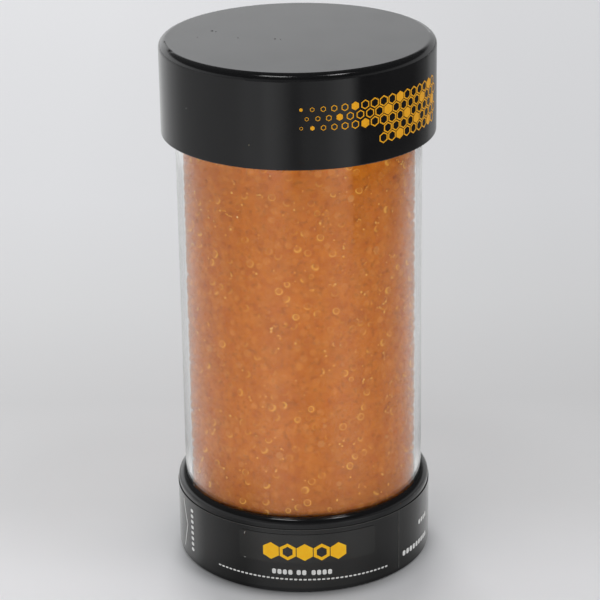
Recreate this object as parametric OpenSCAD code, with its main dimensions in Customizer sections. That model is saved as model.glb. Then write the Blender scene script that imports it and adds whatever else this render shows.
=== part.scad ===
// Desiccant breather canister: a clear tube of silica gel held between a moulded base and cap.
// Air enters through vents under the base, rises through the gel to the space under the cap,
// and leaves down a central pipe to the port in the middle of the base.
// Millimetres, +Z up, origin at the centre of the foot, front towards -Y.

/* [Housing tube] */
// Outside diameter of the clear tube
tube_od = 101.6; // [96:0.1:115]
// Wall of the clear tube
tube_wall = 2.5; // [2:0.1:4]
// Height of tube that shows between the base and the cap
window_h = 152.5; // [110:0.5:220]
// Radial gap between the tube and the mouldings around it
tube_fit = 0.15; // [0.05:0.05:0.3]
// Thickness of the gasket at each end of the tube
gasket_t = 1.5; // [1:0.1:3]

/* [Top cap] */
// Height of the cap
cap_h = 38.7; // [36:0.1:60]
// How far the cap's side stands out beyond the tube
cap_overhang = 5.7; // [5.5:0.1:10]
// Wall of the cap's skirt
cap_wall = 2.4; // [1.8:0.1:3]
// Thickness of the cap's flat top
cap_top_t = 3.2; // [2.5:0.1:5]
// Rounding of the cap's top edge
cap_edge_r = 3.1; // [1:0.1:5]
// Rounding of the skirt's lower edge
cap_lip_r = 0.5; // [0.3:0.1:1]
// Wall of the rings that hold the end of the tube
ring_t = 1.6; // [1:0.1:2]
// Depth of the ring outside the tube
ring_h = 12; // [6:0.5:20]
// Number of centring ribs between the skirt and the tube
guide_count = 12; // [8:4:24]
// Depth of the centring ribs below the ceiling
guide_h = 26; // [15:0.5:30]
// Height of the air space between the upper screen and the ceiling
plenum_h = 13; // [9:0.5:20]

/* [Base] */
// Height of the base, foot to rim
base_h = 33.8; // [31:0.1:45]
// Wall of the base outside the tube
base_wall = 3; // [2.5:0.05:5]
// Rounding of the rim
rim_edge_r = 3; // [1:0.1:4]
// Rounding of the foot's outer edge
foot_edge_r = 0.8; // [0.3:0.1:1.5]
// Height of the open recess under the floor
recess_h = 6; // [4:0.5:10]
// Thickness of the floor
floor_t = 3; // [2:0.1:5]
// How far the webs under the floor stop short of the foot
web_lift = 1.5; // [0.5:0.5:3]
// Height of the ribs that carry the lower screen
rest_h = 5; // [3:0.5:10]
// Number of webs under the floor, ribs on it, vents in it and ribs in the cap
web_count = 8; // [6:1:12]
// Thickness of the webs and ribs in the base and the cap
rib_t = 2.2; // [1.5:0.1:3]
// Diameter of an air vent in the floor
vent_d = 9; // [5:0.5:12]
// Diameter of the circle that the vents lie on
vent_pcd = 72; // [64:1:78]

/* [Port and standpipe] */
// Outside diameter of the pipe that fits the port, a 1 inch pipe
pipe_od = 33.4; // [26.7:0.1:36]
// Wall of the standpipe
pipe_wall = 3.4; // [2.5:0.1:4.5]
// Radial gap between a pipe and its socket
pipe_fit = 0.2; // [0.1:0.05:0.3]
// Wall of the boss around the sockets
boss_wall = 3.4; // [2.5:0.1:5]
// How far the boss stops short of the foot
boss_lift = 1; // [0.5:0.5:3]
// Depth of the port's socket
port_depth = 20; // [15:0.5:30]
// Thickness of the stop between the two sockets
stop_t = 2; // [1.5:0.5:4]
// Depth of the standpipe's socket
seat_depth = 18; // [12:0.5:25]
// Air gap between the standpipe's open end and the ceiling
pipe_gap = 6; // [4:0.5:8]

/* [Filter stack] */
// Thickness of a perforated screen
screen_t = 1.5; // [1:0.1:3]
// Diameter of a hole in a screen
hole_d = 4; // [2:0.5:5]
// Spacing of the holes in a screen
hole_pitch = 7; // [6:0.5:10]
// Thickness of a foam pad
foam_t = 8; // [4:0.5:12]
// Thickness of a felt filter
felt_t = 3; // [1.5:0.5:5]
// Gap around the screens, pads, filters and gel
pad_gap = 0.3; // [0.1:0.1:0.5]

/* [Silica gel] */
// Spacing of the beads in the relief of the bed
bead_pitch = 5.6; // [5.5:0.1:10]
// Depth of the hollows between the beads
bead_relief = 1.4; // [0.5:0.1:3]

/* [Label] */
// Height of the wrap label's lower edge above the foot
label_lift = 2; // [1:0.5:4]
// Height of the wrap label
label_h = 27.2; // [20:0.1:28]
// Thickness of the wrap label
label_t = 0.2; // [0.1:0.05:0.4]
// Thickness of the adhesive under the label and the sticker
glue_t = 0.05; // [0.02:0.01:0.1]
// Width of the gap at the label's seam
seam_gap = 0.5; // [0.2:0.1:2]
// Angle of the seam to the right of the front
seam_az = 47.2; // [35:0.1:180]
// Width of the sticker on the label
patch_w = 56.8; // [40:0.2:70]
// Height of the sticker
patch_h = 13; // [8:0.5:18]
// Height of the sticker's lower edge above the label's
patch_lift = 12; // [4:0.5:13]
// Rounding of the sticker's corners
patch_corner_r = 1.5; // [0.5:0.5:3]
// Thickness of the sticker
patch_t = 0.15; // [0.1:0.05:0.3]
// Angle of the sticker's middle to the right of the front
patch_az = 1.5; // [-20:0.5:20]

/* [Hidden] */
$fn = 128;

// Overlap that fuses the features of one moulding, and lets a cutter pass its face
lap = 0.5;

// Radii
tube_r = tube_od / 2;
bore_r = tube_r - tube_wall;
socket_r = tube_r + tube_fit;
base_r = socket_r + base_wall;
cap_r = tube_r + cap_overhang;
skirt_r = cap_r - cap_wall;
fill_r = bore_r - pad_gap;
pipe_r = pipe_od / 2;
port_r = pipe_r + pipe_fit;
boss_r = port_r + boss_wall;
label_r = base_r + glue_t;
label_face_r = label_r + label_t;
patch_r = label_face_r + glue_t;

// Turn of the webs and ribs that sets them between the vents
web_phase = 180 / web_count;

// Heights of the housing
cap_z = base_h + window_h;
top_z = cap_z + cap_h;
ceiling_z = top_z - cap_top_t;
floor_z = recess_h + floor_t;
label_top_z = label_lift + label_h;

// Heights of the port and the standpipe
stop_z = boss_lift + port_depth;
pipe_z = stop_z + stop_t;
boss_z = pipe_z + seat_depth;
pipe_top_z = ceiling_z - pipe_gap;

// Heights of the filter stack, from the floor up and from the ceiling down
rest_z = floor_z + rest_h;
low_foam_z = rest_z + screen_t;
low_felt_z = low_foam_z + foam_t;
bed_z = low_felt_z + felt_t;
press_z = ceiling_z - plenum_h;
up_foam_z = press_z - screen_t - foam_t;
bed_top_z = up_foam_z - felt_t;

// Rectangle in the radius and height plane
module band(r0, r1, z0, z1) {
    translate([r0, z0])
        square([r1 - r0, z1 - z0]);
}

// What a rounding takes off an outer corner, in the same plane
module corner_waste(radius) {
    difference() {
        square(radius + lap);
        circle(radius);
    }
}

module top_corner_waste(r, z, radius) {
    translate([r - radius, z - radius])
        corner_waste(radius);
}

module bottom_corner_waste(r, z, radius) {
    translate([r - radius, z + radius])
        mirror([0, 1])
            corner_waste(radius);
}

// Ring about the axis
module ring(r0, r1, z0, z1) {
    rotate_extrude()
        band(r0, r1, z0, z1);
}

// Upright plates that run outwards from the axis
module radial_ribs(count, first, thick, r0, r1, z0, z1) {
    for (i = [0 : count - 1])
        rotate(first + i * 360 / count)
            translate([r0, -thick / 2, z0])
                cube([r1 - r0, thick, z1 - z0]);
}

// Ring-shaped plate with circles of holes
module perforated_ring(r0, r1, z0, z1) {
    inner_r = r0 + hole_pitch;
    circles = floor((r1 - hole_pitch - inner_r) / hole_pitch);
    difference() {
        ring(r0, r1, z0, z1);
        for (c = [0 : circles]) {
            circle_r = inner_r + c * hole_pitch;
            count = floor(2 * PI * circle_r / hole_pitch);
            for (i = [0 : count - 1])
                rotate(i * 360 / count)
                    translate([circle_r, 0, z0 - lap])
                        cylinder(d = hole_d, h = z1 - z0 + 2 * lap, $fn = 32);
        }
    }
}

module rounded_rectangle(w, h, radius) {
    square([w - 2 * radius, h], center = true);
    square([w, h - 2 * radius], center = true);
    for (x = [-1, 1])
        for (y = [-1, 1])
            translate([x * (w / 2 - radius), y * (h / 2 - radius)])
                circle(radius);
}

module cap_shell() {
    rotate_extrude()
        difference() {
            union() {
                band(0, cap_r, ceiling_z, top_z);
                band(skirt_r, cap_r, cap_z, top_z);
                band(socket_r, socket_r + ring_t, ceiling_z - ring_h, top_z - lap);
                band(fill_r - ring_t, fill_r, press_z, top_z - lap);
            }
            top_corner_waste(cap_r, top_z, cap_edge_r);
            bottom_corner_waste(cap_r, cap_z, cap_lip_r);
        }
}

module top_cap() {
    color([0.07, 0.07, 0.075]) {
        cap_shell();
        radial_ribs(guide_count, 0, ring_t, socket_r, skirt_r + lap, ceiling_z - guide_h, ceiling_z + lap);
        radial_ribs(web_count, web_phase, rib_t, 0, fill_r - lap, pipe_top_z, ceiling_z + lap);
        radial_ribs(web_count, web_phase, rib_t, pipe_r + pad_gap, fill_r - lap, press_z, ceiling_z + lap);
    }
}

module housing_tube() {
    color([0.85, 0.88, 0.88, 0.3])
        ring(bore_r, tube_r, floor_z + gasket_t, ceiling_z - gasket_t);
}

module base_shell() {
    rotate_extrude()
        difference() {
            union() {
                band(socket_r, base_r, 0, base_h);
                band(port_r, base_r, recess_h, floor_z);
                band(port_r, boss_r, boss_lift, boss_z);
                band(pipe_r - pipe_wall, boss_r, stop_z, pipe_z);
            }
            top_corner_waste(base_r, base_h, rim_edge_r);
            bottom_corner_waste(base_r, 0, foot_edge_r);
        }
}

module base_cap() {
    color([0.07, 0.07, 0.075])
        difference() {
            union() {
                base_shell();
                radial_ribs(web_count, web_phase, rib_t, boss_r - lap, socket_r + lap, web_lift, recess_h + lap);
                radial_ribs(web_count, web_phase, rib_t, boss_r - lap, fill_r, floor_z - lap, rest_z);
            }
            for (i = [0 : web_count - 1])
                rotate(i * 360 / web_count)
                    translate([vent_pcd / 2, 0, recess_h - lap])
                        cylinder(d = vent_d, h = floor_t + 2 * lap);
        }
}

module base_label() {
    color([0.1, 0.1, 0.105])
        difference() {
            ring(label_r, label_face_r, label_lift, label_top_z);
            rotate(seam_az - 90)
                translate([label_r - lap, -seam_gap / 2, label_lift - lap])
                    cube([label_t + 2 * lap, seam_gap, label_h + 2 * lap]);
        }
}

module label_patch() {
    color([0.13, 0.13, 0.135])
        intersection() {
            ring(patch_r, patch_r + patch_t, 0, label_top_z);
            rotate(patch_az)
                translate([0, 0, label_lift + patch_lift + patch_h / 2])
                    rotate([90, 0, 0])
                        linear_extrude(patch_r + patch_t + lap)
                            rounded_rectangle(patch_w, patch_h, patch_corner_r);
        }
}

module standpipe() {
    color([0.9, 0.9, 0.88])
        ring(pipe_r - pipe_wall, pipe_r, pipe_z, pipe_top_z);
}

module lower_gasket() {
    color([0.16, 0.16, 0.16])
        ring(bore_r, tube_r, floor_z, floor_z + gasket_t);
}

module upper_gasket() {
    color([0.16, 0.16, 0.16])
        ring(bore_r, tube_r, ceiling_z - gasket_t, ceiling_z);
}

module lower_screen() {
    color([0.75, 0.75, 0.73])
        perforated_ring(boss_r + pad_gap, fill_r, rest_z, low_foam_z);
}

module upper_screen() {
    color([0.75, 0.75, 0.73])
        perforated_ring(pipe_r + pad_gap, fill_r, press_z - screen_t, press_z);
}

module lower_foam_pad() {
    color([0.3, 0.3, 0.32])
        ring(boss_r + pad_gap, fill_r, low_foam_z, low_felt_z);
}

module upper_foam_pad() {
    color([0.3, 0.3, 0.32])
        ring(pipe_r + pad_gap, fill_r, up_foam_z, press_z - screen_t);
}

module lower_filter() {
    color([0.92, 0.91, 0.87])
        ring(boss_r + pad_gap, fill_r, low_felt_z, bed_z);
}

module upper_filter() {
    color([0.92, 0.91, 0.87])
        ring(pipe_r + pad_gap, fill_r, bed_top_z, up_foam_z);
}

// Bead relief of the bed: each bead is a crown in a hexagon of hollows, and odd rows are set
// half a bead round. The outermost hollows at either end lie on the end of the bed.
bead_cols = round(2 * PI * fill_r / bead_pitch);
bead_rows = floor((bed_top_z - bed_z) / (bead_pitch * sin(60)));
bead_row_h = (bed_top_z - bed_z) / bead_rows;
last_row = bead_rows - 1;
hollow_r = fill_r - bead_relief;

function odd(k) = k % 2;
function bead_at(r, turn, z) = [r * cos(turn * 360 / bead_cols), r * sin(turn * 360 / bead_cols), z];
function bead_ring(r, turn, z) = [for (i = [0 : bead_cols - 1]) bead_at(r, i + turn, z)];
function crown_z(k) = bed_z + (k + 1 / 2) * bead_row_h;
function side_z(k) = k == last_row ? bed_top_z : crown_z(k) + bead_row_h / 3;
function over_z(k) = crown_z(k) + bead_row_h * 2 / 3;

bead_points = concat(
    bead_ring(hollow_r, 1 / 2, bed_z),
    [for (k = [0 : last_row]) each concat(
        bead_ring(fill_r, odd(k) / 2, crown_z(k)),
        bead_ring(hollow_r, (1 + odd(k)) / 2, side_z(k)),
        k == last_row ? [] : bead_ring(hollow_r, odd(k) / 2, over_z(k)))]
);

// Where a point of each ring stands in the list of points
function wrap(i) = (i + bead_cols) % bead_cols;
function foot_id(i) = wrap(i);
function crown_id(k, i) = bead_cols * (1 + 3 * k) + wrap(i);
function side_id(k, i) = bead_cols * (2 + 3 * k) + wrap(i);
function over_id(k, i) = bead_cols * (3 + 3 * k) + wrap(i);

// The hollows round a crown, in order
function upper_hollows(k, i) = k == last_row
    ? [side_id(k, i), side_id(k, i - 1)]
    : [side_id(k, i), over_id(k, i), side_id(k, i - 1)];
function lower_hollows(k, i) = let (left = i - 1 + odd(k)) k == 0
    ? [foot_id(i - 1), foot_id(i)]
    : [over_id(k - 1, left), side_id(k - 1, left), over_id(k - 1, left + 1)];
bead_faces = [
    for (k = [0 : last_row])
        for (i = [0 : bead_cols - 1])
            let (hollows = concat(upper_hollows(k, i), lower_hollows(k, i)))
            let (count = len(hollows))
                for (j = [0 : count - 1])
                    [crown_id(k, i), hollows[(j + 1) % count], hollows[j]]
];
bed_ends = [
    [for (i = [0 : bead_cols - 1]) foot_id(i)],
    [for (i = [bead_cols - 1 : -1 : 0]) side_id(last_row, i)]
];

module silica_gel_bed() {
    color([0.84, 0.47, 0.16])
        difference() {
            polyhedron(bead_points, concat(bead_faces, bed_ends));
            translate([0, 0, bed_z - lap])
                cylinder(r = pipe_r + pad_gap, h = bed_top_z - bed_z + 2 * lap);
            translate([0, 0, bed_z - lap])
                cylinder(r = boss_r + pad_gap, h = boss_z + pad_gap - bed_z + lap);
        }
}

top_cap();
housing_tube();
base_cap();
base_label();
label_patch();
standpipe();
lower_gasket();
upper_gasket();
lower_screen();
upper_screen();
lower_foam_pad();
upper_foam_pad();
lower_filter();
upper_filter();
silica_gel_bed();
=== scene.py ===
"""Looks of the silica gel breather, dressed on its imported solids. Metres, +Z up, front towards -Y."""
import math

import bmesh
import bpy
import numpy as np
from mathutils import Euler, Matrix, Vector


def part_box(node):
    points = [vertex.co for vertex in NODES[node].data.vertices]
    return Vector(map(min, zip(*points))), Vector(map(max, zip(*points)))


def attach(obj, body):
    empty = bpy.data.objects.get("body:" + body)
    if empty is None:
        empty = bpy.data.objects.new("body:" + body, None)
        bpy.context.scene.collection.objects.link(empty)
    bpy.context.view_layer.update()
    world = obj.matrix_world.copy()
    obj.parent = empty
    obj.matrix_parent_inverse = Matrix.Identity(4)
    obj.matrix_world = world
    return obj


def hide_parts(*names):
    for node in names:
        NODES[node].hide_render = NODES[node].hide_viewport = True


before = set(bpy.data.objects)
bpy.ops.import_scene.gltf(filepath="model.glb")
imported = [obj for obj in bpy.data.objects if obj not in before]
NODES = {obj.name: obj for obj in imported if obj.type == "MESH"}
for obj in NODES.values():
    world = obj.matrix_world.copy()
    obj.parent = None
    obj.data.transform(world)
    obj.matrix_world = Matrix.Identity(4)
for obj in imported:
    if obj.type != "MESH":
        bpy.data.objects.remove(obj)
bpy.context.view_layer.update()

BODY = "root"
MM = 0.001
FULL_TURN = 2 * math.pi
scene = bpy.context.scene

# Driving sizes, read from the solids
_, CAP_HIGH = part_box("top_cap")
TUBE_LOW, TUBE_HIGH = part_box("housing_tube")
LABEL_LOW, LABEL_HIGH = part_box("base_label")
PATCH_LOW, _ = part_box("label_patch")
BED_LOW, BED_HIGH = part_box("silica_gel_bed")
CAP_R = CAP_HIGH.x
TUBE_R = TUBE_HIGH.x
TUBE_WALL = 2.5 * MM
BORE_R = TUBE_R - TUBE_WALL
LABEL_R = LABEL_HIGH.x
PATCH_R = -PATCH_LOW.y

# Camera, fitted to the photograph's edges
LENS_MM = 144.98
SENSOR_MM = 36.0
CAM_AT = Vector((-0.44, -949.46, 483.15)) * MM
CAM_PITCH = math.radians(21.444)
CAM_ROLL = math.radians(-0.827)
CAM_CLIP = (0.05, 50)


def srgb(r, g, b):
    """Linear colour of an sRGB colour given in 0 to 255, by the standard's curve."""
    def one(v):
        v = v / 255
        return v / 12.92 if v <= 0.04045 else ((v + 0.055) / 1.055) ** 2.4
    return (one(r), one(g), one(b), 1.0)


def grey(level):
    return (level, level, level, 1.0)


# Most values of a noise lie between these two
NOISE_LOW = 0.3
NOISE_HIGH = 0.7

# Sockets of a Mix node that count when it mixes colours
MIX_FACTOR = 0
MIX_A = 6
MIX_B = 7
MIX_RESULT = 2


class Nodes:
    """Builds up a node tree. A value is a constant or the output of another node."""

    def __init__(self, tree):
        self.tree = tree

    def node(self, kind, **settings):
        made = self.tree.nodes.new(kind)
        for key, value in settings.items():
            setattr(made, key, value)
        return made

    def link(self, source, target):
        self.tree.links.new(source, target)

    def feed(self, socket, value):
        """Link an output to a socket, or set a constant there."""
        if isinstance(value, bpy.types.NodeSocket):
            self.link(value, socket)
        else:
            socket.default_value = value

    def split(self, vector):
        """A vector's parts, by their names X, Y and Z."""
        made = self.node("ShaderNodeSeparateXYZ")
        self.link(vector, made.inputs["Vector"])
        return made.outputs

    def span(self, source, low, high, new_low, new_high):
        """A value carried from one range over to another, and held inside it."""
        made = self.node("ShaderNodeMapRange")
        for socket, value in zip(made.inputs, (source, low, high, new_low, new_high)):
            self.feed(socket, value)
        return made.outputs["Result"]

    def math(self, operation, a, b=0.0):
        made = self.node("ShaderNodeMath", operation=operation)
        for socket, value in zip(made.inputs, (a, b)):
            self.feed(socket, value)
        return made.outputs["Value"]

    def vector(self, operation, a, b=None):
        made = self.node("ShaderNodeVectorMath", operation=operation)
        for socket, value in zip(made.inputs, (a, b)):
            if value is not None:
                self.feed(socket, value)
        return made.outputs["Value" if operation in ("DOT_PRODUCT", "LENGTH") else "Vector"]

    def weigh(self, a, b, share):
        """The sum of two values, the first one by its share and the second by the rest."""
        return self.math("ADD", self.math("MULTIPLY", a, share), self.math("MULTIPLY", b, 1 - share))

    def ramp(self, source, *stops):
        """Colour ramp over stops of (place, colour)."""
        made = self.node("ShaderNodeValToRGB")
        items = made.color_ramp.elements
        while len(items) < len(stops):
            items.new(0.5)
        for item, (place, colour) in zip(items, stops):
            item.position = place
            item.color = colour
        self.link(source, made.inputs["Fac"])
        return made.outputs["Color"]

    def levels(self, source, *stops):
        """Grey ramp over stops of (place, brightness)."""
        return self.ramp(source, *((place, grey(level)) for place, level in stops))

    def mix(self, factor, a, b, blend="MIX"):
        """Mix of two colours."""
        made = self.node("ShaderNodeMix", data_type="RGBA", blend_type=blend)
        for index, value in ((MIX_FACTOR, factor), (MIX_A, a), (MIX_B, b)):
            self.feed(made.inputs[index], value)
        return made.outputs[MIX_RESULT]

    def shade(self, colour, level):
        """A colour times a brightness."""
        return self.mix(1.0, colour, level, "MULTIPLY")


class Shader(Nodes):
    """A material with one Principled surface."""

    def __init__(self, name):
        self.mat = bpy.data.materials.new(name)
        self.mat.use_nodes = True
        super().__init__(self.mat.node_tree)
        self.tree.nodes.clear()
        self.out = self.node("ShaderNodeOutputMaterial")
        self.surface = self.node("ShaderNodeBsdfPrincipled")
        self.link(self.surface.outputs["BSDF"], self.out.inputs["Surface"])

    def set(self, **values):
        for key, value in values.items():
            self.surface.inputs[key.replace("_", " ")].default_value = value

    def colour(self, source):
        self.link(source, self.surface.inputs["Base Color"])

    def roughness(self, source):
        self.link(source, self.surface.inputs["Roughness"])

    def place(self):
        """Position on the object, in metres."""
        return self.node("ShaderNodeTexCoord").outputs["Object"]

    def outward(self):
        """Direction away from the canister's axis."""
        return self.vector("NORMALIZE", self.vector("MULTIPLY", self.place(), (1, 1, 0)))

    def noise(self, scale, detail=2.0, rough=0.5):
        made = self.node("ShaderNodeTexNoise")
        made.inputs["Scale"].default_value = scale
        made.inputs["Detail"].default_value = detail
        made.inputs["Roughness"].default_value = rough
        self.link(self.place(), made.inputs["Vector"])
        return made.outputs["Fac"]

    def mottle(self, dark, light, scale, detail=3):
        """Colour that wanders between two colours."""
        return self.ramp(self.noise(scale, detail), (NOISE_LOW, dark), (NOISE_HIGH, light))

    def smear(self, least, most, scale, detail, rough=0.5):
        """Roughness that wanders between two values."""
        return self.span(self.noise(scale, detail, rough), NOISE_LOW, NOISE_HIGH, least, most)

    def bump(self, height, strength, distance):
        made = self.node("ShaderNodeBump")
        made.inputs["Strength"].default_value = strength
        made.inputs["Distance"].default_value = distance
        self.link(height, made.inputs["Height"])
        self.link(made.outputs["Normal"], self.surface.inputs["Normal"])

    def ease(self, normal, share):
        """Turn the shading towards the canister's side, so that small pieces are lit much as it is."""
        lean = self.vector("MULTIPLY", self.outward(), (share,) * 3)
        eased = self.vector("NORMALIZE", self.vector("ADD", lean, normal))
        self.link(eased, self.surface.inputs["Normal"])

    def speck_mask(self, scale, radius, share):
        """Sparse round specks: 1 on a speck."""
        cells = self.node("ShaderNodeTexVoronoi", feature="F1")
        cells.inputs["Scale"].default_value = scale
        self.link(self.place(), cells.inputs["Vector"])
        near = self.math("LESS_THAN", cells.outputs["Distance"], radius)
        pick = self.node("ShaderNodeSeparateColor")
        self.link(cells.outputs["Color"], pick.inputs["Color"])
        chosen = self.math("GREATER_THAN", pick.outputs["Red"], 1 - share)
        return self.math("MULTIPLY", near, chosen)


def black_moulding():
    """Glossy black plastic with a few pale specks."""
    s = Shader("black_moulding")
    s.set(Specular_IOR_Level=0.5)
    plain = s.mottle(srgb(18, 18, 19), srgb(22, 22, 23), scale=60)
    s.colour(s.mix(s.speck_mask(scale=90, radius=0.035, share=0.1), plain, srgb(120, 120, 118)))
    s.roughness(s.smear(0.11, 0.17, scale=45, detail=4, rough=0.6))
    s.bump(s.noise(scale=700), strength=0.03, distance=0.2 * MM)
    return s.mat


def label_film(name, dark, light):
    s = Shader(name)
    s.set(Specular_IOR_Level=0.7)
    s.colour(s.mottle(dark, light, scale=80))
    s.roughness(s.smear(0.17, 0.24, scale=120, detail=3))
    s.bump(s.noise(scale=300), strength=0.05, distance=0.2 * MM)
    return s.mat


def print_ink(name, dark, light):
    s = Shader(name)
    s.set(Specular_IOR_Level=0.25)
    s.colour(s.mottle(dark, light, scale=500))
    s.roughness(s.smear(0.35, 0.45, scale=400, detail=2))
    return s.mat


def plain_inner(name, dark, light, rough, scale):
    s = Shader(name)
    s.set(Roughness=rough)
    s.colour(s.mottle(dark, light, scale, detail=4))
    s.bump(s.noise(2 * scale, detail=3), strength=0.3, distance=0.3 * MM)
    return s.mat


def clear_tube():
    """Polished acrylic that lets the lamps' light reach the gel."""
    s = Shader("clear_tube")
    s.set(Base_Color=(0.985, 0.99, 0.99, 1), Roughness=0.02, IOR=1.49, Transmission_Weight=1.0)
    s.bump(s.noise(scale=25), strength=0.02, distance=0.5 * MM)
    through = s.node("ShaderNodeBsdfTransparent")
    through.inputs["Color"].default_value = grey(0.99)
    path = s.node("ShaderNodeLightPath")
    mixed = s.node("ShaderNodeMixShader")
    sources = (path.outputs["Is Shadow Ray"], s.surface.outputs["BSDF"], through.outputs["BSDF"])
    for socket, source in zip(mixed.inputs, sources):
        s.link(source, socket)
    s.link(mixed.outputs["Shader"], s.out.inputs["Surface"])
    return s.mat


# Looks of the gel: its tints by place on a mix of noises, and brightness by place on a noise, with painted
# shade:
# dark spots on another noise for the gaps between beads, and darker low down by the base's rim. The grain's
# and the patches' shares are those of a noise in that mix. SOFT_LIGHT says how far the shading is eased.
GEL_TINTS = ((0.32, srgb(204, 107, 12)), (0.5, srgb(214, 122, 25)), (0.68, srgb(223, 136, 48)))
GEL_CLOUDS = ((0.35, 0.92), (0.65, 1.0))
# Painted shade: dark spots on a noise, standing for the shade in gaps between beads
GEL_GAP_SHADE = ((0.31, 0.83), (0.44, 1.0))
# Painted shade low down, where the base's rim shades the gel: its levels by height, and the height it spans
GEL_FOOT_SHADE = ((0.15, 0.75), (0.5, 0.92), (1.0, 1.0))
FOOT_SHADE_HEIGHT = 38 * MM
GEL_GRAIN_SHARE = 0.5
GEL_PATCH_SHARE = 0.55
SOFT_LIGHT = 1.8

# Pale beads: how many there are, how strongly they show, and the factor that picks them
PALE_SHARE = 0.02
PALE_MIX = 0.24
PALE_SHUFFLE = 91.3
PALE_TINT = srgb(238, 180, 104)

# Rings of light: a band rises over its first two places and falls over its last two, and the glow is that
# of the faintest, the middle and the brightest bead. The shuffles turn a bead's number into a vector.
RING_TINT = srgb(255, 196, 78)
RING_RAISE = 0.36
RING_LEAN = 0.25
RING_BAND = (0.6, 0.68, 0.78, 0.87)
RING_GLOW = (0.15, 0.35, 0.72)
RING_FADES = ((0.38, 0.5), (0.52, 1.0))
ARC_BAND = (0.45, 0.6, 0.78, 0.9)
ARC_GLOW = (0.17, 0.34, 0.58)
ARC_ENDS = ((0.1, 0.0), (0.4, 1.0))
LEAN_SHUFFLES = (57.1, 23.7, 39.3)
ARC_SHUFFLES = (71.9, 13.3, 87.7)

# Painted glints: the chips' tints, from the dullest to the brightest
PAINTED_GLINT_TINTS = ((0.0, srgb(220, 130, 32)), (0.5, srgb(233, 150, 41)), (0.985, srgb(247, 190, 84)),
              (1.0, srgb(255, 226, 170)))
CHIP_ROUGHNESS = (0.08, 0.2)


class Gel(Shader):
    """Amber silica gel in soft patches, with painted shade low down by the base's rim, lit evenly all
    through.
    """

    def __init__(self, name):
        super().__init__(name)
        faces = self.node("ShaderNodeNewGeometry")
        self.own = faces.outputs["Random Per Island"]
        self.normal = faces.outputs["Normal"]
        self.set(Roughness=0.2, IOR=1.46, Specular_IOR_Level=0.1)
        self.ease(self.normal, SOFT_LIGHT)
        self.tint = self.patches()

    def patches(self):
        """Colour that changes from bead to bead and from patch to patch, with painted shade in dark spots
        and low down.
        """
        grain = self.weigh(self.noise(scale=650), self.own, GEL_GRAIN_SHARE)
        patch = self.weigh(self.noise(scale=230, detail=3), grain, GEL_PATCH_SHARE)
        tint = self.ramp(patch, *GEL_TINTS)
        tint = self.shade(tint, self.levels(self.noise(scale=90, detail=3), *GEL_CLOUDS))
        tint = self.shade(tint, self.levels(self.noise(scale=480), *GEL_GAP_SHADE))
        # Painted shade low down, by height above the bed's foot
        height = self.split(self.place())["Z"]
        depth = self.span(height, BED_LOW.z, BED_LOW.z + FOOT_SHADE_HEIGHT, 0.0, 1.0)
        return self.shade(tint, self.levels(depth, *GEL_FOOT_SHADE))

    def roll(self, shuffle):
        """Another random number of the bead's own, from 0 to 1."""
        return self.math("FRACT", self.math("MULTIPLY", self.own, shuffle))

    def own_vector(self, shuffles, size):
        """A vector of the bead's own, with each part from -size to size."""
        made = self.node("ShaderNodeCombineXYZ")
        for socket, shuffle in zip(made.inputs, shuffles):
            self.link(self.span(self.roll(shuffle), 0.0, 1.0, -size, size), socket)
        return made.outputs["Vector"]


def gel_core():
    s = Gel("gel_core")
    s.colour(s.tint)
    return s.mat


def merged_bead():
    """A bead that hardly shows against its neighbours; a few are pale."""
    s = Gel("gel_bead")
    pale = s.math("GREATER_THAN", s.roll(PALE_SHUFFLE), 1 - PALE_SHARE)
    s.colour(s.mix(s.math("MULTIPLY", pale, PALE_MIX), s.tint, PALE_TINT))
    return s.mat


def light_ring(s, band, glow, part):
    """The light that runs round a clear bead, as a thin yellow ring or as part of one."""
    raised = s.vector("ADD", s.outward(), (0, 0, RING_RAISE))
    axis = s.vector("NORMALIZE", s.vector("ADD", raised, s.own_vector(LEAN_SHUFFLES, RING_LEAN)))
    turned = s.vector("DOT_PRODUCT", axis, s.normal)
    ring = s.shade(s.levels(turned, *zip(band, (0, 1, 1, 0))), part)
    share = s.levels(s.own, *zip((0.0, 0.5, 1.0), glow))
    s.colour(s.mix(s.math("MULTIPLY", ring, share), s.tint, RING_TINT))


def ringed_bead():
    """A clear bead with a whole ring that fades in places."""
    s = Gel("gel_bead_clear")
    light_ring(s, RING_BAND, RING_GLOW, s.levels(s.noise(scale=700, detail=1), *RING_FADES))
    return s.mat


def arced_bead():
    """A clear bead with part of a ring, on a side of its own."""
    s = Gel("gel_bead_lit")
    way = s.vector("NORMALIZE", s.own_vector(ARC_SHUFFLES, 1.0))
    light_ring(s, ARC_BAND, ARC_GLOW, s.levels(s.vector("DOT_PRODUCT", way, s.normal), *ARC_ENDS))
    return s.mat


def painted_glint_chip():
    """Small chips of bead coloured as painted glints, yellow up to near white."""
    s = Shader("painted_glint_chip")
    faces = s.node("ShaderNodeNewGeometry")
    own = faces.outputs["Random Per Island"]
    s.colour(s.ramp(own, *PAINTED_GLINT_TINTS))
    s.ease(faces.outputs["Normal"], 1.0)
    s.roughness(s.span(own, 0.0, 1.0, *CHIP_ROUGHNESS))
    return s.mat


# Turned pieces
LATHE_STEPS = 256
CRISP_ANGLE = math.radians(30)
TUBE_BEVEL = 0.3 * MM


def assign(obj, mat):
    obj.data.materials.clear()
    obj.data.materials.append(mat)


def mesh_piece(name, verts, faces, mat, smooth=True):
    """A new piece that rides on the canister."""
    mesh = bpy.data.meshes.new(name)
    mesh.from_pydata(verts, [], faces)
    mesh.validate()
    mesh.update()
    if smooth:
        mesh.polygons.foreach_set("use_smooth", [True] * len(mesh.polygons))
    obj = bpy.data.objects.new(name, mesh)
    scene.collection.objects.link(obj)
    mesh.materials.append(mat)
    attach(obj, BODY)
    return obj


def joined_piece(name, verts, faces, mat):
    """One piece from lists of arrays, one array for each of its bodies."""
    return mesh_piece(name, np.concatenate(verts).tolist(), np.concatenate(faces).tolist(), mat)


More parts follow.
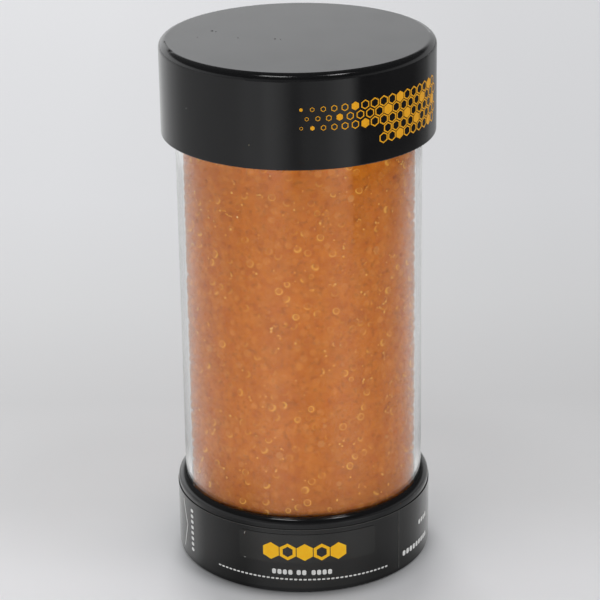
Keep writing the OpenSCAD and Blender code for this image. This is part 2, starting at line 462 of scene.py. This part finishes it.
def lathe(name, outline, mat):
    """Closed ring turned about the axis from an outline of (radius, height), smooth with crisp edges."""
    count = len(outline)
    verts = []
    for i in range(LATHE_STEPS):
        a = FULL_TURN * i / LATHE_STEPS
        verts += [(r * math.cos(a), r * math.sin(a), z) for r, z in outline]
    faces = []
    for i in range(LATHE_STEPS):
        here = i * count
        there = (i + 1) % LATHE_STEPS * count
        for j in range(count):
            k = (j + 1) % count
            faces.append((here + j, there + j, there + k, here + k))
    obj = mesh_piece(name, verts, faces, mat)
    with bpy.context.temp_override(object=obj, active_object=obj, selected_editable_objects=[obj]):
        bpy.ops.object.shade_smooth_by_angle(angle=CRISP_ANGLE)
    return obj


# Pieces inside: material, dark and light colour, roughness, noise scale, nodes
INNER = (
    ("white_pipe", srgb(214, 213, 208), srgb(228, 227, 222), 0.4, 60, ("standpipe",)),
    ("gasket_rubber", srgb(34, 34, 34), srgb(46, 46, 46), 0.7, 200, ("lower_gasket", "upper_gasket")),
    ("screen_plastic", srgb(178, 178, 174), srgb(196, 196, 192), 0.5, 150, ("lower_screen", "upper_screen")),
    ("foam", srgb(62, 62, 66), srgb(92, 92, 96), 0.95, 900, ("lower_foam_pad", "upper_foam_pad")),
    ("felt", srgb(212, 208, 196), srgb(232, 229, 220), 0.95, 700, ("lower_filter", "upper_filter")),
)


def dress_solids():
    moulding = black_moulding()
    assign(NODES["top_cap"], moulding)
    assign(NODES["base_cap"], moulding)
    assign(NODES["base_label"], label_film("label_film", srgb(18, 18, 18), srgb(23, 23, 23)))
    assign(NODES["label_patch"], label_film("sticker_film", srgb(30, 30, 29), srgb(36, 36, 35)))
    for name, dark, light, rough, scale, nodes in INNER:
        mat = plain_inner(name, dark, light, rough, scale)
        for node in nodes:
            assign(NODES[node], mat)


def tube_piece():
    """Clear tube with bevelled ends."""
    low, high, bevel = TUBE_LOW.z, TUBE_HIGH.z, TUBE_BEVEL
    outline = [
        (BORE_R, low + bevel), (BORE_R + bevel, low), (TUBE_R - bevel, low), (TUBE_R, low + bevel),
        (TUBE_R, high - bevel), (TUBE_R - bevel, high), (BORE_R + bevel, high), (BORE_R, high - bevel),
    ]
    obj = lathe("clear_tube", outline, clear_tube())
    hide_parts("housing_tube")


# Beads of the gel bed. Each size is the largest radius, the smallest and the number of tries, and BEAD_NEST
# lets neighbours press together a little. The core lies behind the beads.
BEAD_SIZES = ((2.1 * MM, 1.4 * MM, 60000), (1.4 * MM, 0.9 * MM, 20000))
BEAD_R_MAX = BEAD_SIZES[0][0]
BEAD_SEED = 7
BEAD_NEST = 0.96
BEAD_CLEAR = 0.1 * MM
BEAD_SINK = 0.4 * MM
BEADS_A_PIECE = 2400
WALL_R = BORE_R - BEAD_CLEAR
CORE_DEPTH = 1.15 * MM
CORE_R = WALL_R - CORE_DEPTH
CORE_HOLE_R = 21 * MM

# Beads that show light: their least radius, and the shares with a whole ring and with part of one
RING_FROM = 1.35 * MM
RING_SHARE = 0.11
ARC_SHARE = 0.22

# Chips that carry painted glints, strewn singly and in short arcs. A range is (least, most); an arc's turns
# are in radians, its reach is a share of its bead's radius, and a chip's sink is a share of its own size. A
# CHIP_RISE below
# 1 strews more chips high up.
CHIPS = 600
CHIP_R = (0.3 * MM, 0.7 * MM)
CHIP_RISE = 0.75
CHIP_SINK = (0.35, 0.75)
CHIP_ARCS = 220
CHIP_ARC_COUNT = (2, 5)
CHIP_ARC_TURN = (0.35, 0.7)
CHIP_ARC_REACH = (0.7, 0.95)


def core_piece():
    """Body of the bed, behind its outer beads."""
    low, high = BED_LOW.z, BED_HIGH.z
    outline = [(CORE_HOLE_R, low), (CORE_R, low), (CORE_R, high), (CORE_HOLE_R, high)]
    obj = lathe("gel_bed_core", outline, gel_core())
    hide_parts("silica_gel_bed")


def scatter_beads(rng, z0, z1):
    """Random close packing on the tube's wall: large beads first, then smaller ones in the gaps."""
    cell = 2 * BEAD_R_MAX
    girth = FULL_TURN * (WALL_R - BEAD_R_MAX)
    cols = int(girth / cell)
    grid = {}
    placed = []
    for big, small, tries in BEAD_SIZES:
        radii = np.sort(rng.uniform(small, big, tries))[::-1]
        spots = rng.uniform(0, 1, (tries, 2))
        for radius, (u, v) in zip(radii, spots):
            s = u * girth
            z = z0 + radius + v * (z1 - z0 - 2 * radius)
            col = int(s / girth * cols) % cols
            row = int((z - z0) / cell)
            near = [
                bead for dc in (-1, 0, 1) for dr in (-1, 0, 1)
                for bead in grid.get(((col + dc) % cols, row + dr), ())
            ]
            for other_s, other_z, other_r in near:
                gap = abs(other_s - s)
                gap = min(gap, girth - gap)
                if math.hypot(gap, other_z - z) < BEAD_NEST * (radius + other_r):
                    break
            else:
                grid.setdefault((col, row), []).append((s, z, radius))
                placed.append((s / girth * FULL_TURN, z, radius))
    return placed


def unit_ball(level):
    ball = bmesh.new()
    bmesh.ops.create_icosphere(ball, subdivisions=level, radius=1.0)
    verts = np.array([v.co[:] for v in ball.verts])
    faces = np.array([[v.index for v in f.verts] for f in ball.faces])
    ball.free()
    return verts, faces


def beads(name, spots, rng, mat, level, squash, depth=1.0):
    """One piece of many beads, each at (angle, radius from the axis, height, size)."""
    ball, ball_faces = unit_ball(level)
    verts = []
    faces = []
    for angle, r, z, size in spots:
        out = np.array([math.cos(angle), math.sin(angle), 0])
        spin = np.array(Euler(rng.uniform(0, FULL_TURN, 3)).to_matrix())
        shape = (ball * rng.uniform(squash, 1.0, 3)) @ spin.T
        shape -= (1 - depth) * np.outer(shape @ out, out)
        faces.append(ball_faces + len(verts) * len(ball))
        verts.append(shape * size + (r * out + (0, 0, z)))
    obj = joined_piece(name, verts, faces, mat)
    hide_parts("silica_gel_bed")


def chip_spots(rng, arc_beads):
    """Places of the chips: strewn singly, and in short arcs round some of the beads."""
    flat = []
    for angle, rise in zip(rng.uniform(0, FULL_TURN, CHIPS), rng.uniform(0, 1, CHIPS) ** CHIP_RISE):
        flat.append((angle, BED_LOW.z + rise * (BED_HIGH.z - BED_LOW.z), rng.uniform(*CHIP_R)))
    for k in rng.integers(0, len(arc_beads), CHIP_ARCS):
        angle, r, z, radius = arc_beads[k]
        turn = rng.uniform(0, FULL_TURN)
        for _ in range(rng.integers(*CHIP_ARC_COUNT, endpoint=True)):
            turn += rng.uniform(*CHIP_ARC_TURN)
            reach = radius * rng.uniform(*CHIP_ARC_REACH)
            along = reach * math.cos(turn) / r
            flat.append((angle + along, z + reach * math.sin(turn), rng.uniform(*CHIP_R)))
    low = BED_LOW.z + CHIP_R[1]
    high = BED_HIGH.z - CHIP_R[1]
    spots = []
    for angle, z, size in flat:
        spots.append((angle, WALL_R - size * rng.uniform(*CHIP_SINK), min(max(z, low), high), size))
    return spots


def bead_pieces():
    rng = np.random.default_rng(BEAD_SEED)
    merged = []
    ringed = []
    arced = []
    for angle, z, radius in scatter_beads(rng, BED_LOW.z, BED_HIGH.z):
        bead = (angle, WALL_R - radius - rng.uniform(0, BEAD_SINK), z, radius)
        draw = rng.uniform() if radius > RING_FROM else 1.0
        if draw < RING_SHARE:
            ringed.append(bead)
        elif draw < RING_SHARE + ARC_SHARE:
            arced.append(bead)
        else:
            merged.append(bead)
    merged.sort(key=lambda bead: bead[2])
    mat = merged_bead()
    for start in range(0, len(merged), BEADS_A_PIECE):
        name = "gel_beads_%d" % (start // BEADS_A_PIECE + 1)
        beads(name, merged[start:start + BEADS_A_PIECE], rng, mat, level=2, squash=0.93)
    beads("gel_beads_clear", ringed, rng, ringed_bead(), level=3, squash=0.96)
    beads("gel_beads_lit", arced, rng, arced_bead(), level=3, squash=0.96)
    # Chips in bright colours: painted glints
    beads("painted_glint_chips", chip_spots(rng, merged), rng, painted_glint_chip(), level=1, squash=0.78, depth=0.3)


# Printed films, in millimetres
FILM_LIFT = 0.03
FILM_T = 0.03
FILM_STEP = 1.5
FILM_WELD = 0.001
BAR_CUT = 0.25


def hexagon(u, v, r):
    return [(u + r * math.sin(math.pi / 3 * k), v + r * math.cos(math.pi / 3 * k)) for k in range(6)]


def hexagon_ring(u, v, outer, inner):
    far = hexagon(u, v, outer)
    near = hexagon(u, v, inner)
    return [[far[k], far[(k + 1) % 6], near[(k + 1) % 6], near[k]] for k in range(6)]


def bar(u, v, width, height):
    """Bar with cut corners."""
    c = BAR_CUT * min(width, height)
    w = width / 2
    h = height / 2
    return [(u - w + c, v - h), (u + w - c, v - h), (u + w, v - h + c), (u + w, v + h - c),
            (u + w - c, v + h), (u - w + c, v + h), (u - w, v + h - c), (u - w, v - h + c)]


def bar_row(first, v, pitch, count, size, tilt=0.0):
    """Bars side by side along the girth."""
    places = [first + pitch * k for k in range(count)]
    return [bar(u, v + tilt * u, *size) for u in places]


def stroke(a, b, width):
    """Straight line from one point to another."""
    a = Vector(a)
    b = Vector(b)
    along = b - a
    side = Vector((-along.y, along.x)).normalized() * width / 2
    return [tuple(a - side), tuple(b - side), tuple(b + side), tuple(a + side)]


def arc(radius, degrees):
    """Length round the girth, in millimetres, of an angle from the front."""
    return math.radians(degrees) * radius / MM


def wrap(name, shapes, radius, mat):
    """Flat shapes (along the girth, up) laid round the axis as one thin closed film."""
    flat = bmesh.new()
    for outline in shapes:
        flat.faces.new([flat.verts.new((u, v, 0)) for u, v in outline])
    bmesh.ops.remove_doubles(flat, verts=flat.verts, dist=FILM_WELD)
    bmesh.ops.recalc_face_normals(flat, faces=flat.faces)
    reach = [v.co.x for v in flat.verts]
    for k in range(math.ceil(min(reach) / FILM_STEP), math.floor(max(reach) / FILM_STEP) + 1):
        everything = flat.verts[:] + flat.edges[:] + flat.faces[:]
        bmesh.ops.bisect_plane(flat, geom=everything, plane_co=(k * FILM_STEP, 0, 0), plane_no=(1, 0, 0))
    flat.verts.index_update()
    rim = {frozenset(v.index for v in edge.verts) for edge in flat.edges if len(edge.link_faces) == 1}
    girth = radius / MM
    count = len(flat.verts)
    verts = []
    for lift in (FILM_LIFT, FILM_LIFT + FILM_T):
        for point in flat.verts:
            a = point.co.x / girth
            r = (girth + lift) * MM
            verts.append((r * math.sin(a), -r * math.cos(a), point.co.y * MM))
    faces = []
    for face in flat.faces:
        ring = [v.index for v in face.verts]
        if face.normal.z < 0:
            ring.reverse()
        faces.append([i + count for i in ring])
        faces.append(ring[::-1])
        for k, i in enumerate(ring):
            j = ring[(k + 1) % len(ring)]
            if frozenset((i, j)) in rim:
                faces.append([i, j, j + count, i + count])
    flat.free()
    mesh_piece(name, verts, faces, mat, smooth=False)


# Honeycomb on the cap, in millimetres and degrees from the front. A cell starts at the share CELL_LEAST of
# its size, which gains CELL_GROWTH by the angle COMB_GROWN, and fills the share CELL_FILL of its place.
CELL_R = 2.5
CELL_LINE = 0.62
CELL_FILL = 0.92
CELL_LEAST = 0.3
CELL_GROWTH = 0.62
COMB_TOP = 213.5
COMB_STARTS = (1, 1, 1, 36, 36)
COMB_GROWN = 30
COMB_END = 74
COMB_COLS = 40
COMB_SOLID = 5


def cap_print():
    """Gold honeycomb on the cap's right: its cells shrink towards the front, and one in five is solid."""
    pitch = CELL_R * math.sqrt(3)
    row_pitch = CELL_R * 1.5
    shapes = []
    for row, start in enumerate(COMB_STARTS):
        v = COMB_TOP - CELL_R - row_pitch * row
        for col in range(COMB_COLS):
            u = arc(CAP_R, start) + pitch * (col + 0.5 * (row % 2))
            if u > arc(CAP_R, COMB_END):
                break
            share = min(1.0, CELL_LEAST + CELL_GROWTH * u / arc(CAP_R, COMB_GROWN)) * CELL_FILL
            if (col + 2 * row) % COMB_SOLID == 0:
                shapes.append(hexagon(u, v, CELL_R * share))
            else:
                shapes += hexagon_ring(u, v, CELL_R * share, (CELL_R - CELL_LINE) * share)
    ink = print_ink("gold_ink", srgb(230, 161, 16), srgb(242, 173, 28))
    wrap("cap_print", shapes, CAP_R, ink)


# Hexagons on the sticker, in millimetres, and painted glints where the lifted corners of its left edge catch
# the
# light: from, to and width, measured from that edge, which is in degrees from the front
LABEL_TILT = -0.017
HEX_COUNT = 5
HEX_PITCH = 7.1
HEX_Z = 19.0
HEX_R = 3.9
HEX_HOLE_R = 2.4
STICKER_LEFT = -27.4
STICKER_CORNER_GLINTS = (((0.0, 25.2), (0.35, 26.2), 0.4), ((-0.4, 14.4), (0.5, 14.3), 0.25))


def patch_print():
    """Five gold hexagons on the sticker, every other one open, and painted glints on the lifted corners of
    its film.
    """
    shapes = []
    for k in range(HEX_COUNT):
        u = HEX_PITCH * (k - HEX_COUNT // 2)
        v = HEX_Z + LABEL_TILT * u
        if k % 2:
            shapes += hexagon_ring(u, v, HEX_R, HEX_HOLE_R)
        else:
            shapes.append(hexagon(u, v, HEX_R))
    ink = print_ink("sticker_ink", srgb(255, 190, 28), srgb(255, 198, 40))
    wrap("patch_print", shapes, PATCH_R, ink)
    # Pale strokes at the sticker's left corners: painted glints where the film's corners catch the light
    left = arc(PATCH_R, STICKER_LEFT)
    corners = []
    for (start, start_z), (end, end_z), width in STICKER_CORNER_GLINTS:
        corners.append(stroke((left + start, start_z), (left + end, end_z), width))
    pale = print_ink("painted_corner_glint", srgb(120, 120, 116), srgb(150, 150, 146))
    wrap("patch_corner_glints", corners, PATCH_R, pale)


# Marks on the label, in millimetres. A row of bars is its start, height, pitch, count and a bar's size, and
# a row at the side starts with an angle in degrees from the front.
FRONT_ROWS = (
    (-13.0, 9.5, 2.3, 4, (1.7, 2.3)),
    (-2.6, 9.5, 2.3, 2, (1.7, 2.3)),
    (3.6, 9.5, 2.3, 4, (1.7, 2.3)),
    (-39.0, 6.2, 1.95, 40, (1.35, 0.7)),
)
SIDE_ROWS = (
    (50, 1.0, 7.6, 2.6, 9, (1.9, 2.4)),
    (65, 0.0, 16.8, 2.5, 4, (1.7, 2.2)),
)
COLUMN_AZ = -61.5
COLUMN_LOW = 6.6
COLUMN_PITCH = 2.6
COLUMN_COUNT = 8
COLUMN_BAR = (2.2, 1.5)
POINTED_LINE = ((-9.0, 27.0), (-5.0, 16.0), (-9.0, 4.6))
POINTED_W = 0.6


def label_print():
    """White bars, dashes and a pointed line on the label."""
    shapes = []
    for row in FRONT_ROWS:
        shapes += bar_row(*row, tilt=LABEL_TILT)
    left = arc(LABEL_R, COLUMN_AZ)
    for k in range(COLUMN_COUNT):
        shapes.append(bar(left, COLUMN_LOW + COLUMN_PITCH * k, *COLUMN_BAR))
    points = [(left + along, up) for along, up in POINTED_LINE]
    for a, b in zip(points, points[1:]):
        shapes.append(stroke(a, b, POINTED_W))
    for degrees, start, *row in SIDE_ROWS:
        shapes += bar_row(arc(LABEL_R, degrees) + start, *row)
    ink = print_ink("white_ink", srgb(218, 218, 216), srgb(234, 234, 232))
    wrap("label_print", shapes, LABEL_R, ink)


# Pale lines on the label's film, along its top and, as a painted highlight, along its seam, in millimetres
# and degrees
SEAM_AZ = 47.2
SEAM_W = 0.35
SEAM_GAP = 0.3
SEAM_RISE = 0.1
EDGE_W = 0.2
EDGE_DROP = 0.12
EDGE_TURN = 359.5


def label_edges():
    """A pale line along the top of the label's film, and along its seam a painted highlight where the
    overlapping edge catches the light.
    """
    top = LABEL_HIGH.z / MM - EDGE_DROP
    low = LABEL_LOW.z / MM
    seam = arc(LABEL_R, SEAM_AZ)
    start = arc(LABEL_R, SEAM_AZ - EDGE_TURN)
    shapes = [
        stroke((start, top), (seam - SEAM_GAP, top), EDGE_W),
        stroke((seam, low), (seam, top + SEAM_RISE), SEAM_W),
    ]
    # The seam's pale line is a painted highlight
    ink = print_ink("pale_edge_and_seam_highlight", srgb(70, 70, 68), srgb(86, 86, 84))
    wrap("label_edges", shapes, LABEL_R, ink)


# Dust, in millimetres: (degrees from the front, height, size) on the cap's side, (x, y, size) on its top.
# A flake's outline and its width vary between two shares of its size.
DUST_SIDE = ((-20.1, 196.1, 0.28),)
DUST_TOP = ((-34.8, 9.8, 0.8), (-33.2, 8.6, 0.45), (-40.5, 0.5, 0.4), (-24.0, -1.5, 0.4), (-9.0, -3.9, 0.75),
            (-6.8, -4.6, 0.4))
DUST_T = 0.08
DUST_OUTLINE = (0.7, 1.0)
DUST_WIDTH = (0.6, 1.0)
DUST_SEED = 3
DUST_ROUGHNESS = 0.9
DUST_SCALE = 900


def dust_film(name, dark, light):
    return plain_inner(name, dark, light, DUST_ROUGHNESS, DUST_SCALE)


def flakes(name, spots, mat):
    """Low flakes of dust lying on a surface: each (centre, normal, size), in metres."""
    ball, ball_faces = unit_ball(level=2)
    rng = np.random.default_rng(DUST_SEED)
    verts = []
    faces = []
    for centre, normal, size in spots:
        turn = np.array(Vector(normal).to_track_quat("Z", "Y").to_matrix())
        flake = ball * rng.uniform(*DUST_OUTLINE, (len(ball), 1))
        flake = flake * (size * rng.uniform(*DUST_WIDTH), size, DUST_T * MM)
        faces.append(ball_faces + len(verts) * len(ball))
        verts.append(flake @ turn.T + np.array(centre))
    joined_piece(name, verts, faces, mat)


def dust():
    top = [((x * MM, y * MM, CAP_HIGH.z), (0, 0, 1), size * MM) for x, y, size in DUST_TOP]
    flakes("dust_top", top, dust_film("dark_dust", srgb(36, 35, 33), srgb(52, 51, 48)))
    side = []
    for degrees, z, size in DUST_SIDE:
        a = math.radians(degrees)
        out = (math.sin(a), -math.cos(a), 0)
        side.append(((CAP_R * out[0], CAP_R * out[1], z * MM), out, size * MM))
    flakes("dust_side", side, dust_film("pale_dust", srgb(122, 116, 96), srgb(146, 138, 112)))


# Painted reflections: light and dark panels in the floor's colour, which only mirrored rays see and shiny
# sides mirror, as stops of (place, brightness). A bearing runs from 0 on the left to 1 on the right, facing
# from -1 in front to 1 behind, and reach is the distance from the axis.
CAP_REACH = ((0.53, 0.0), (0.6, 1.0))
CAP_PANELS = (
    (0.0, 0.52), (0.11, 0.6), (0.17, 0.74), (0.25, 0.76), (0.29, 0.92), (0.33, 0.88), (0.37, 0.74),
    (0.46, 0.24), (0.5, 0.24), (0.54, 0.38), (0.67, 0.48), (0.75, 0.74), (0.79, 0.87),
    (0.83, 0.92), (0.885, 0.03), (1.0, 0.06),
)
CAP_BEHIND = ((0.3, 0.9), (0.7, 0.42))
BEHIND_FACING = ((0.3, 0.0), (0.85, 1.0))
TUBE_PANELS = (
    (0.0, 0.55), (0.03, 0.45), (0.1, 0.45), (0.26, 0.64), (0.33, 0.66), (0.39, 0.62), (0.46, 0.52),
    (0.6, 0.48), (0.66, 0.48), (0.72, 0.58), (0.78, 0.63), (0.84, 0.58), (0.97, 0.3), (1.0, 0.38),
)
EDGE_PANELS = ((0.4, 0.8), (0.7, 0.67), (0.85, 0.64), (0.95, 0.75))
EDGE_FACING = ((0.0, 0.0), (0.45, 1.0))

# Brightness of the tube's panels over a range of reach: (from, to, brightness from, brightness to)
TUBE_FADE = (0.14, 0.5, 1.42, 1.02)
EDGE_FADE = (0.12, 0.25, 0.8, 0.97)

# Dark gap between the tube's panels on the right, as ranges over which it comes in
GAP_BEARING = (0.868, 0.88)
GAP_REACH = (0.42, 0.49)
GAP_FACING = (0.6, 0.0)
GAP_LEVEL = 0.27

# Panels for the base, by degrees from the front
BASE_REACH = ((0.125, 1.0), (0.165, 0.0))
BASE_REACH_BEHIND = 0.06
BASE_PANELS = (
    (-62, 1.0), (-54, 0.56), (-33, 0.33), (-28, 0.33), (-18, 0.72), (-8, 0.8), (1, 0.79),
    (10, 0.67), (20, 0.66), (36, 0.39), (42, 0.4), (56, 0.48), (66, 0.65), (76, 0.95),
)


def cap_panels(s, bearing, facing):
    front = s.levels(bearing, *CAP_PANELS)
    return s.mix(s.levels(facing, *BEHIND_FACING), front, s.levels(bearing, *CAP_BEHIND))


def tube_panels(s, bearing, facing, reach):
    front = s.shade(s.levels(bearing, *TUBE_PANELS), s.span(reach, *TUBE_FADE))
    edge = s.shade(s.levels(facing, *EDGE_PANELS), s.span(reach, *EDGE_FADE))
    panels = s.mix(s.levels(facing, *EDGE_FACING), front, edge)
    gap = s.math("MULTIPLY", s.span(bearing, *GAP_BEARING, 0.0, 1.0), s.span(reach, *GAP_REACH, 0.0, 1.0))
    gap = s.math("MULTIPLY", gap, s.span(facing, *GAP_FACING, 0.0, 1.0))
    return s.mix(gap, panels, grey(GAP_LEVEL))


def base_panels(s, x, y, reach):
    """Panels by the angle round the base that mirrors them: their own angle up close, half of it far off."""
    turn = s.math("ARCTAN2", x, s.math("MULTIPLY", y, -1.0))
    spread = s.math("SUBTRACT", s.math("MULTIPLY", reach, 2.0), LABEL_R)
    around = s.math("DIVIDE", s.math("MULTIPLY", turn, reach), spread)
    stops = [((degrees + 90) / 180, level) for degrees, level in BASE_PANELS]
    return s.levels(s.span(around, -math.pi / 2, math.pi / 2, 0.0, 1.0), *stops)


def painted_reflection_panels(s, x, y, reach):
    """Painted reflections: light and dark panels in the floor's colour, which only mirrored rays see, by
    bearing from the canister.
    """
    bearing = s.span(s.math("DIVIDE", x, reach), -1.0, 1.0, 0.0, 1.0)
    facing = s.math("DIVIDE", y, reach)
    tube = tube_panels(s, bearing, facing, reach)
    sides = s.mix(s.levels(reach, *CAP_REACH), tube, cap_panels(s, bearing, facing))
    low = s.math("ADD", reach, s.math("MULTIPLY", s.math("MAXIMUM", facing, 0.0), BASE_REACH_BEHIND))
    return s.mix(s.levels(low, *BASE_REACH), sides, base_panels(s, x, y, reach))


# Floor: its tints from front to back and its brightness from left to right, each over a range in metres.
# Both are
# painted light and shade: lighter in front, darker in a band just behind the canister and darker towards the
# right.
FLOOR_SIZE = 8.0
FLOOR_DEPTH = (-0.1, 1.0)
FLOOR_SHADED_TINTS = ((0.0, srgb(238, 238, 240)), (0.053, srgb(234, 234, 236)), (0.122, srgb(219, 219, 220)),
               (0.224, srgb(211, 211, 212)), (0.346, srgb(220, 220, 221)), (0.5, srgb(225, 225, 227)),
               (1.0, srgb(227, 227, 229)))
FLOOR_WIDTH = (-0.15, 0.15)
FLOOR_SIDE_SHADE = ((0.0, 1.0), (1.0, 0.9))

# Contact shade of the base: by distance from it, and by direction from the side where it is deepest, which
# is away from the back light
SHADE_W = 9.5 * MM
SHADE_LEVELS = ((0.0, 0.4), (0.2, 0.54), (0.4, 0.72), (0.6, 0.87), (0.8, 0.96), (1.0, 1.0))
SHADE_SIDE = (-0.12, -0.993, 0.0)
SHADE_DEPTH = ((0.3, 0.1), (0.6, 0.45), (0.85, 0.85), (0.97, 1.0))


def floor():
    """Pale floor with painted light and shade: the base's contact shade, tints lighter in front and darker
    in a band behind the canister, and a darker right side. Only mirrored light sees the panels, painted
    reflections in the floor's colour.
    """
    corners = [(x * FLOOR_SIZE, y * FLOOR_SIZE, 0) for x, y in ((-1, -1), (1, -1), (1, 1), (-1, 1))]
    mesh = bpy.data.meshes.new("floor")
    mesh.from_pydata(corners, [], [(0, 1, 2, 3)])
    obj = bpy.data.objects.new("floor", mesh)
    scene.collection.objects.link(obj)
    s = Shader("floor")
    s.set(Roughness=0.6, Specular_IOR_Level=0.2)
    x, y, _ = s.split(s.place())
    reach = s.vector("LENGTH", s.place())
    # Painted light and shade: lighter in front, darker in a band behind the canister and towards the right
    pale = s.ramp(s.span(y, *FLOOR_DEPTH, 0.0, 1.0), *FLOOR_SHADED_TINTS)
    pale = s.shade(pale, s.levels(s.span(x, *FLOOR_WIDTH, 0.0, 1.0), *FLOOR_SIDE_SHADE))
    contact = s.levels(s.span(reach, LABEL_R, LABEL_R + SHADE_W, 0.0, 1.0), *SHADE_LEVELS)
    front = s.vector("DOT_PRODUCT", s.vector("NORMALIZE", s.place()), SHADE_SIDE)
    pale = s.mix(s.levels(front, *SHADE_DEPTH), pale, s.shade(pale, contact))
    # Mirrored rays see painted reflections of panels instead of the pale floor
    path = s.node("ShaderNodeLightPath")
    bounced = s.math("GREATER_THAN", path.outputs["Glossy Depth"], 0.5)
    bounced = s.math("MULTIPLY", bounced, path.outputs["Is Glossy Ray"])
    s.colour(s.mix(bounced, pale, painted_reflection_panels(s, x, y, reach)))
    mesh.materials.append(s.mat)


# The room's brightness from front to back. What shiny sides mirror of it darkens between two heights
# towards the ceiling, and from left to right.
ROOM_TINT = (0.98, 0.99, 1.0, 1)
ROOM_LEVELS = (0.16, 0.97)
CEILING = (0.33, 0.42)
CEILING_LEVELS = (1.0, 0.1)
SLANT = (-0.3, 0.3)
SLANT_LEVELS = (1.3, 0.7)

# Lamps: name, place, width, height, watts, and whether shiny sides mirror it
LAMP_AIM = Vector((0, 0, 0.11))
LAMPS = (
    ("softbox_left", (-0.29, -0.4, 1.5), 0.39, 0.2, 1.9, True),
    ("softbox_right", (0.49, -0.29, 1.5), 0.24, 0.2, 1.4, True),
    ("front_fill", (0.12, -2.2, 0.25), 3.8, 0.6, 19.0, False),
    ("side_fill_left", (-1.6, -0.35, 0.25), 0.8, 0.5, 2.1, False),
    ("side_fill_right", (1.6, -0.35, 0.25), 0.8, 0.5, 2.4, False),
    ("back_key", (-0.35, 2.6, 2.2), 1.6, 0.8, 42.0, False),
)


def area_lamp(name, at, width, height, watts, mirrored):
    data = bpy.data.lights.new(name, "AREA")
    data.shape = "RECTANGLE"
    data.size = width
    data.size_y = height
    data.energy = watts
    obj = bpy.data.objects.new(name, data)
    obj.location = at
    obj.rotation_euler = (LAMP_AIM - Vector(at)).to_track_quat("-Z", "Y").to_euler()
    obj.visible_camera = False
    obj.visible_glossy = mirrored
    scene.collection.objects.link(obj)


def studio():
    """A room with a bright backdrop behind, dimmer in front, two softboxes overhead and soft fill."""
    world = bpy.data.worlds.new("studio")
    scene.world = world
    world.use_nodes = True
    s = Nodes(world.node_tree)
    x, y, z = s.split(s.node("ShaderNodeTexCoord").outputs["Generated"])
    soft = s.span(y, -1.0, 1.0, *ROOM_LEVELS)
    sharp = s.math("MULTIPLY", soft, s.span(z, *CEILING, *CEILING_LEVELS))
    sharp = s.math("MULTIPLY", sharp, s.span(x, *SLANT, *SLANT_LEVELS))
    strength = s.node("ShaderNodeMix")
    s.link(s.node("ShaderNodeLightPath").outputs["Is Glossy Ray"], strength.inputs["Factor"])
    s.link(soft, strength.inputs["A"])
    s.link(sharp, strength.inputs["B"])
    back = s.tree.nodes["Background"]
    back.inputs["Color"].default_value = ROOM_TINT
    s.link(strength.outputs["Result"], back.inputs["Strength"])
    for lamp in LAMPS:
        area_lamp(*lamp)


def camera():
    data = bpy.data.cameras.new("camera")
    data.lens = LENS_MM
    data.sensor_width = SENSOR_MM
    data.clip_start, data.clip_end = CAM_CLIP
    obj = bpy.data.objects.new("camera", data)
    turn = Euler((math.pi / 2 - CAM_PITCH, 0, 0)).to_matrix() @ Matrix.Rotation(CAM_ROLL, 3, "Z")
    obj.matrix_world = Matrix.Translation(CAM_AT) @ turn.to_4x4()
    scene.collection.objects.link(obj)
    scene.camera = obj


def main():
    scene.view_settings.view_transform = "Standard"
    camera()
    floor()
    studio()
    dress_solids()
    tube_piece()
    core_piece()
    bead_pieces()
    cap_print()
    patch_print()
    label_print()
    label_edges()
    dust()


main()
